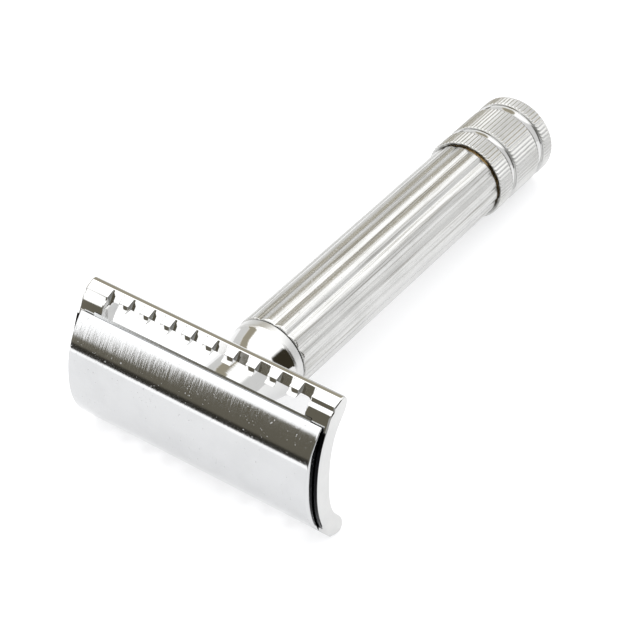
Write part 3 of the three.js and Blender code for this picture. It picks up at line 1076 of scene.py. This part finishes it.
@dataclass
class NeckAndGrip:
    """Sleeve, neck and reeded grip tube, with the bushings inside."""

    finishes: Finishes
    tube_start: float = 20.65
    tube_end: float = 72.88
    tube_bore: float = 4.7
    reed_count: int = 15
    reed_crest: float = 6.3
    reed_valley: float = 5.98
    valley_round: float = 0.035
    reed_end_round: float = 0.42

    def sleeve(self) -> bpy.types.Object:
        """Flanged sleeve that clamps guard to neck."""
        section = filleted(
            [[2.75, 2.3], [4.2, 2.3], [4.2, 2.95], [3.32, 2.95], [3.32, 9.2], [2.75, 9.2]], 0.08, 3)
        return revolve("guard_clamp_sleeve", section, 72)

    def neck(self) -> bpy.types.Object:
        """Waisted neck with a bevelled flange and a spigot for the tube."""
        outline = [[3.4, 5.25], [5.9, 5.6], [5.55, 6.3], [5.25, 8.2], [5.2, 10.5], [5.16, 13.4],
                   [5.24, 15.6], [5.92, 18.55], [6.04, 18.85], [6.13, 19.1], [6.13, 20.35], [6.0, 20.5],
                   [4.62, 20.5], [4.62, 24.5], [4.05, 24.5], [4.05, 9.4], [3.4, 9.4]]
        setback = [0.1, 0.1, 0.5, 1.0, 1.0, 1.0, 1.2, 0.06, 0.1, 0.1, 0.07, 0.05, 0.1, 0.15, 0.1, 0.2, 0.1]
        return revolve("neck_with_flange", filleted(outline, setback, 6), 160, sharp=25)

    def reeds(self, turn: Array, radius: Array, station: Array) -> Array:
        """Radius capped by convex reeds: each is a circle arc bowed between two valleys.

        Args:
            turn: angle round the handle, from z towards x.
            radius: turned radius.
            station: place along the handle (unused, the reeds run straight).
        Returns:
            The smaller of the turned radius and the reeded one.
        """
        half = math.pi / self.reed_count
        swing = (turn - QUARTER + half) % (2 * half) - half
        chord = self.reed_valley * math.sin(half)
        rise = self.reed_crest - self.reed_valley * math.cos(half)
        bow = (chord**2 + rise**2) / (2 * rise)
        centre = self.reed_crest - bow
        reach = centre * np.cos(swing) + np.sqrt(bow**2 - (centre * np.sin(swing)) ** 2)
        soft = reach + self.valley_round * np.exp(-(((half - np.abs(swing)) / 0.02) ** 2))
        return np.minimum(radius, soft)

    def tube(self) -> bpy.types.Object:
        """Reeded tube with rounded reed ends."""
        q = np.linspace(0, QUARTER, 7)
        end = self.reed_end_round
        crest = self.reed_crest + 0.001
        fall, run = end * (1 - np.sin(q)), end * (1 - np.cos(q))
        first = np.stack([crest - fall, self.tube_start + run], axis=-1)
        body = np.linspace(self.tube_start + end + 0.2, self.tube_end - end - 0.2, 16)
        middle = np.stack([np.full_like(body, crest), body], axis=-1)
        last = np.stack([crest - fall[::-1], self.tube_end - run[::-1]], axis=-1)
        bore = np.array([[self.tube_bore, self.tube_end], [self.tube_bore, self.tube_start]])
        section = np.concatenate([first, middle, last, bore])
        return revolve("grip_reeded_tube", section, self.reed_count * 20, self.reeds, sharp=50)

    def bushing(self, name: str, start: float, end: float) -> bpy.types.Object:
        """Plain bearing ring between tube and rod."""
        outline = [[1.75, start], [4.6, start], [4.6, end], [1.75, end]]
        return revolve(name, filleted(outline, 0.2, 4), 72)

    def build(self) -> None:
        """Make and dress the handle's pieces."""
        dress(self.sleeve(), self.finishes.brass, Body.HANDLE, Slot.BRASS, "guard_sleeve")
        neck = self.neck()
        weighted(neck)
        dress(neck, self.finishes.neck, Body.HANDLE, Slot.POLISHED, "neck_collar")
        dress(self.tube(), self.finishes.grip, Body.HANDLE, Slot.SATIN, "handle_tube")
        front, rear = self.bushing("bearing_front", 26.0, 30.0), self.bushing("bearing_rear", 66.2, 71.0)
        dress(front, self.finishes.brass, Body.HANDLE, Slot.BRASS, "front_bushing")
        dress(rear, self.finishes.brass, Body.HANDLE, Slot.BRASS, "rear_bushing")
        washer = filleted([[1.8, 71.1], [4.5, 71.1], [4.5, 71.55], [1.8, 71.55]], 0.08, 3)
        dress(revolve("bearing_thrust_washer", washer, 72), self.finishes.spring, Body.HANDLE,
              Slot.SPRING, "thrust_washer")


# ---------------------------------------------------------------- draw mechanism and knob


@dataclass
class DrawMechanism:
    """Nut, rod, pins and washers that pull the cap down when the knob turns."""

    finishes: Finishes
    rod_radius: float = 1.6
    thread_pitch: float = 0.8
    thread_depth: float = 0.3
    socket_radius: float = 2.52
    nut_pin_station: float = 21.6
    nut_drill: float = 0.56
    knob_pin_station: float = 81.2
    knob_drill: float = 0.81

    def nut_thread(self, turn: Array, radius: Array, station: Array) -> Array:
        """Right-hand thread cut outwards into the socket, as the stud's zigzag."""
        wave = zigzag(thread_phase(turn, station, self.thread_pitch))
        inside = (radius < 2.6) & (station > 9.8) & (station < 18.0) & (radius > 2.4)
        return radius + np.where(inside, self.thread_depth * (1 - wave), 0.0)

    def cross_hole(self, radius: float, station: float) -> bpy.types.Object:
        """Drill for a cross pin."""
        section = np.array([[0, -6.0], [radius, -6.0], [radius, 6.0], [0, 6.0]])
        return revolve("cross_tool", section, 24, axis=Axis.HEAD, centre=(station, 0.0))

    def nut_hole(self) -> bpy.types.Object:
        """Drill for the pin that joins nut and rod."""
        return self.cross_hole(self.nut_drill, self.nut_pin_station)

    def knob_hole(self) -> bpy.types.Object:
        """Drill for the pin that joins knob and rod."""
        return self.cross_hole(self.knob_drill, self.knob_pin_station)

    def nut(self) -> bpy.types.Object:
        """Draw nut with its threaded socket and a blind socket for the rod."""
        station = np.arange(17.9, 10.0, -self.thread_pitch / 10)
        socket = np.stack([np.full_like(station, self.socket_radius), station], axis=-1)
        section = np.concatenate([
            [[0, 18.3], [self.socket_radius, 18.3]], socket,
            [[self.socket_radius, 9.9], [2.8, 9.6], [3.6, 9.6], [3.85, 9.85], [3.85, 23.75], [3.6, 24.0],
             [1.68, 24.0], [1.68, 19.3], [0, 19.3]]])
        made = revolve("draw_nut_turned", section, 64, self.nut_thread)
        drilled(made, [self.nut_hole()])
        return made

    def rod(self) -> bpy.types.Object:
        """Draw rod with a clip groove and two cross holes."""
        r = self.rod_radius
        section = filleted(
            [[0, 19.4], [r - 0.2, 19.4], [r, 19.6], [r, 64.8], [1.2, 64.8], [1.2, 65.6], [r, 65.6],
             [r, 85.8], [r - 0.2, 86.0], [0, 86.0]], 0.06, 3, closed=False)
        made = revolve("draw_rod_turned", section, 48)
        drilled(made, [self.nut_hole(), self.knob_hole()])
        return made

    def pin(self, name: str, radius: float, half: float, station: float) -> bpy.types.Object:
        """Cross pin with rounded ends."""
        section = filleted([[0, -half], [radius, -half], [radius, half], [0, half]], 0.15, 4, closed=False)
        return revolve(name, section, 32, axis=Axis.HEAD, centre=(station, 0.0))

    def spring_washer(self) -> bpy.types.Object:
        """Wave washer: a flat ring whose station waves three times round the axis."""
        section = filleted([[1.8, 71.78], [4.3, 71.78], [4.3, 71.98], [1.8, 71.98]], 0.04, 2)
        steps, wave = 90, 0.12
        turn = np.linspace(0, FULL_TURN, steps, endpoint=False)[:, None]
        radius, station = section[None, :, 0], section[None, :, 1]
        points = np.stack([radius * np.cos(turn), station + wave * np.cos(3 * turn),
                           radius * np.sin(turn)], axis=-1)
        return skin("wave_washer", points, grid_quads(steps, len(section), True, True).tolist())

    def clip(self) -> bpy.types.Object:
        """Open ring in the rod's groove, with two rounded jaws."""
        section = filleted([[1.27, 64.95], [2.9, 64.95], [2.9, 65.45], [1.27, 65.45]], 0.08, 3)
        gap, steps = 0.42, 72
        turn = np.linspace(gap, FULL_TURN - gap, steps)[:, None]
        radius, station = section[None, :, 0], section[None, :, 1]
        points = np.stack([radius * np.sin(turn), np.repeat(station, steps, 0),
                           radius * np.cos(turn)], axis=-1)
        return skin("rod_snap_clip", points, capped_tube(steps, len(section)))

    def build(self) -> None:
        """Make and dress the mechanism."""
        f = self.finishes
        dress(self.nut(), f.brass, Body.KNOB, Slot.BRASS, "draw_nut")
        dress(self.rod(), f.steel, Body.KNOB, Slot.STEEL, "draw_rod")
        nut_pin = self.pin("nut_cross_pin", 0.5, 3.75, self.nut_pin_station)
        knob_pin = self.pin("knob_cross_pin", 0.75, 5.1, self.knob_pin_station)
        dress(nut_pin, f.steel, Body.KNOB, Slot.STEEL, "nut_pin")
        dress(knob_pin, f.steel, Body.KNOB, Slot.STEEL, "knob_pin")
        dress(self.clip(), f.spring, Body.KNOB, Slot.SPRING, "rod_clip")
        dress(self.spring_washer(), f.spring, Body.KNOB, Slot.SPRING, "spring_washer")


@dataclass
class Knob:
    """Twist knob: core, knurled rings, polished spacers and the end plug."""

    finishes: Finishes
    mechanism: DrawMechanism
    radius: float = 6.87
    core_radius: float = 5.2
    spacer_radius: float = 6.42
    lip_radius: float = 6.74
    front_dish: float = 0.4
    rib_count: int = 65
    rib_depth: float = 0.2

    def ribs(self, turn: Array, radius: Array, station: Array) -> Array:
        """Radius capped by straight ribs: rim less depth times a rounded zigzag of the angle."""
        wave = zigzag((turn - QUARTER) * self.rib_count / FULL_TURN)
        groove = 1 - np.clip(1.18 * wave - 0.06, 0, 1)
        return np.minimum(radius, self.radius - self.rib_depth * groove)

    def knurled(self, name: str, start: float, end: float, front: float, back: float,
                dish: float = 0.0) -> bpy.types.Object:
        """Knurled ring.

        Args:
            name: object name.
            start: where it starts along the handle.
            end: where it ends.
            front: edge break at its start.
            back: edge break at its end.
            dish: how far its front face leans back towards the bore.
        Returns:
            The linked object.
        """
        bore = self.core_radius + 0.06
        outline = [[bore, start + dish], [self.radius - front, start], [self.radius, start + front],
                   [self.radius, end - back], [self.radius - back, end], [bore, end]]
        section = filleted(outline, [0.05, front, front, back, back, 0.05], 4)
        return revolve(name, section, self.rib_count * 10, self.ribs, sharp=50)

    def spacer(self, name: str, start: float, end: float) -> bpy.types.Object:
        """Polished groove between two rings: a flat floor between two thin lips."""
        bore, lip, floor, wall = self.core_radius + 0.06, self.lip_radius, self.spacer_radius, 0.09
        outline = [[bore, start], [lip, start], [lip, start + wall], [floor, start + wall + 0.03],
                   [floor, end - wall - 0.03], [lip, end - wall], [lip, end], [bore, end]]
        return revolve(name, filleted(outline, 0.04, 3), 120)

    def core(self) -> bpy.types.Object:
        """Core under the rings, with a pilot spigot and the plug's socket."""
        outline = [[1.68, 72.25], [4.5, 72.25], [4.62, 72.37], [4.62, 72.98], [5.2, 73.05],
                   [5.2, 88.4], [4.35, 88.4], [4.35, 86.8], [1.68, 86.8]]
        made = revolve("knob_turned_core", filleted(outline, 0.05, 3), 96)
        drilled(made, [self.mechanism.knob_hole()])
        return made

    def plug(self) -> bpy.types.Object:
        """End plug with a rounded rim and a very shallow dome: y falls with the radius squared."""
        r = np.linspace(3.8, 0, 9)
        dome = np.stack([r, 88.7 - 0.05 * (r / 3.8) ** 2], axis=-1)
        side = filleted([[0, 86.95], [4.28, 86.95], [4.28, 88.43], [5.18, 88.43], [5.18, 88.52], [4.9, 88.62],
                         [3.9, 88.65]], [0, 0.1, 0.04, 0.04, 0.1, 0.2, 0], 4, closed=False)
        return revolve("knob_domed_plug", np.concatenate([side, dome]), 120, sharp=50)

    def build(self) -> None:
        """Make and dress the knob's pieces."""
        f = self.finishes
        rings = [("knurl_ring_front", 73.0, 76.5, 0.16, self.front_dish, "knob_front_ring"),
                 ("knurl_band_grip", 78.0, 84.34, 0.16, 0.0, "knob_grip_band"),
                 ("knurl_ring_end", 86.14, 88.5, 0.22, 0.0, "knob_end_ring")]
        for name, start, end, back, dish, node in rings:
            ring = self.knurled(name, start, end, 0.16, back, dish)
            dress(ring, f.knurled, Body.KNOB, Slot.KNURLED, node)
        spacers = [("groove_spacer_front", 76.56, 77.94, "knob_front_spacer"),
                   ("groove_spacer_rear", 84.4, 86.08, "knob_rear_spacer")]
        for name, start, end, node in spacers:
            spacer = self.spacer(name, start, end)
            weighted(spacer)
            dress(spacer, f.turned, Body.KNOB, Slot.POLISHED, node)
        dress(self.core(), f.brass, Body.KNOB, Slot.BRASS, "knob_core")
        plug = self.plug()
        dress(plug, f.turned, Body.KNOB, Slot.POLISHED, "knob_end_plug")


# ---------------------------------------------------------------- studio


@dataclass(frozen=True)
class Panel:
    """A soft-edged patch of the surroundings.

    Args:
        colour: its light, linear.
        turn: azimuths in degrees between which it stands, from left to right.
        height: sines of the elevations between which it stands.
        soft_turn: width of its upright edges, in degrees.
        soft_height: width of its lower and its upper edge.
        from_front: whether the azimuth is counted from the front instead of the back.
    """

    colour: Colour
    turn: tuple[float, float]
    height: tuple[float, float]
    soft_turn: float = 3.0
    soft_height: tuple[float, float] = (0.02, 0.03)
    from_front: bool = False

    def share(self, azimuth: Wire, height: Wire) -> Wire:
        """How much of a direction the panel covers: the product of four smooth steps."""
        wide, (low, high) = math.radians(self.soft_turn), self.soft_height
        left, right = math.radians(self.turn[0]), math.radians(self.turn[1])
        upright = azimuth.ramp(left - wide, left) * (-azimuth).ramp(-right - wide, -right)
        level = height.ramp(self.height[0] - low, self.height[0])
        return upright * level * (-height).ramp(-self.height[1] - high, -self.height[1])


@dataclass
class Studio:
    """Plain pale floor, soft surrounding light with dark panels, and the camera."""

    floor_half: float = 0.115
    floor_tone: float = 0.5
    floor_glow: float = 0.6
    sky: float = 1.75
    lens: float = 142.886
    camera_place: tuple[float, float, float] = (0.15547555, -0.22497283, 0.26037806)

    def panels(self) -> list[Panel]:
        """The panels, from the ones painted first to the ones painted last."""
        return [
            Panel((0.92, 0.92, 0.91), (-85, -16), (-0.3, 0.30), 6, (0.02, 0.10)),
            Panel((0.48, 0.44, 0.34), (-80, -14), (0.40, 0.66), 5, (0.09, 0.05)),
            Panel((0.95, 0.95, 0.95), (-12, 58), (-0.3, 0.52), 5, (0.02, 0.10)),
            Panel((0.045, 0.038, 0.024), (66, 116), (-0.20, 0.66), 5, (0.02, 0.12)),
            Panel((0.30, 0.28, 0.23), (-88, -29), (-0.12, 0.10), 5, (0.01, 0.09), from_front=True),
            Panel((0.176, 0.162, 0.125), (-30.3, 70), (-0.125, 0.42), 0.5, (0.01, 0.05), from_front=True),
            Panel((0.50, 0.50, 0.49), (8, 60), (-0.3, 0.20), 14, (0.01, 0.10), from_front=True),
            Panel((0.04, 0.037, 0.03), (-70, 6), (-0.14, -0.045), 6, (0.01, 0.06), from_front=True),
        ]

    def floor(self) -> None:
        """Plane with a faint mottled tone, glowing a little so that shadows stay faint."""
        h, tone = self.floor_half, self.floor_tone
        mesh = bpy.data.meshes.new("studio_floor")
        mesh.from_pydata([(-h, -h, 0), (h, -h, 0), (h, h, 0), (-h, h, 0)], [], [(0, 1, 2, 3)])
        plane = bpy.data.objects.new("studio_floor", mesh)
        bpy.context.scene.collection.objects.link(plane)
        material, shop = blank_material("pale_floor")
        place = shop.node("ShaderNodeTexCoord").outputs["Object"]
        mottle = shop.noise(place, 9.0, 2.0)
        colour = shop.mixed(mottle, (tone, tone, tone, 1.0), (tone - 0.02, tone - 0.02, tone - 0.01, 1.0))
        shader = shop.node(
            "ShaderNodeBsdfPrincipled", None,
            {"Base Color": colour, "Roughness": 1.0, "Specular IOR Level": 0.0,
             "Emission Color": (0.985, 0.99, 1.0, 1.0), "Emission Strength": self.floor_glow})
        shop.node("ShaderNodeOutputMaterial", None, {0: shader.outputs[0]})
        mesh.materials.append(material)

    def surroundings(self) -> None:
        """White all round, with the panels laid out by azimuth arctan2(x, y) and by height z."""
        world = bpy.data.worlds.new("studio")
        bpy.context.scene.world = world
        world.use_nodes = True
        shop = Shop(world.node_tree)
        x, y, z = shop.parts(shop.node("ShaderNodeTexCoord").outputs["Generated"])
        from_back, from_front = x.arctan2(y), x.arctan2(-y)
        light = (self.sky, self.sky, self.sky, 1.0)
        for panel in self.panels():
            share = panel.share(from_front if panel.from_front else from_back, z)
            light = shop.mixed(share, light, rgba(panel.colour))
        seen = Wire(shop, shop.node("ShaderNodeLightPath").outputs["Is Camera Ray"])
        final = shop.mixed(seen, light, (1.3, 1.3, 1.3, 1.0))
        background = shop.node("ShaderNodeBackground", None, {"Color": final, "Strength": 1.0})
        shop.node("ShaderNodeOutputWorld", None, {0: background.outputs[0]})

    def softbox(self) -> None:
        """One large weak overhead light, for a faint soft shadow."""
        data = bpy.data.lights.new("overhead_softbox", "AREA")
        data.shape, data.size, data.energy = "DISK", 0.9, 1.2
        lamp = bpy.data.objects.new("overhead_softbox", data)
        lamp.location = (-0.25, 0.25, 1.0)
        lamp.rotation_euler = (Vector((0, 0, 0)) - lamp.location).to_track_quat("-Z", "Y").to_euler()
        bpy.context.scene.collection.objects.link(lamp)

    def camera(self) -> None:
        """Camera at its place, turned by its right, up and backward directions."""
        data = bpy.data.cameras.new("camera")
        data.lens, data.sensor_width = self.lens, 36.0
        data.clip_start, data.clip_end = 0.01, 30.0
        eye = bpy.data.objects.new("camera", data)
        bpy.context.scene.collection.objects.link(eye)
        right = Vector((0.81719106, 0.57595171, -0.0218721))
        up = Vector((-0.38249126, 0.57030527, 0.72694727))
        back = Vector((0.4311603, -0.58568893, 0.68634487))
        turn = Matrix((right, up, back)).transposed().to_4x4()
        eye.matrix_world = Matrix.Translation(self.camera_place) @ turn
        bpy.context.scene.camera = eye

    def build(self) -> None:
        """Set up floor, light and camera."""
        self.floor()
        self.surroundings()
        self.softbox()
        self.camera()
        view = bpy.context.scene.view_settings
        view.view_transform, view.look, view.exposure, view.gamma = "Standard", "None", 0.0, 1.0


def main() -> None:
    """Build every sub-assembly in order, then the studio."""
    finishes = Finishes()
    curves = HeadCurves()
    CapAssembly(curves, finishes).build()
    BladeAssembly(curves, finishes).build()
    GuardPlate(curves, finishes).build()
    NeckAndGrip(finishes).build()
    mechanism = DrawMechanism(finishes)
    mechanism.build()
    Knob(finishes, mechanism).build()
    Studio().build()


if __name__ == "__main__":
    main()
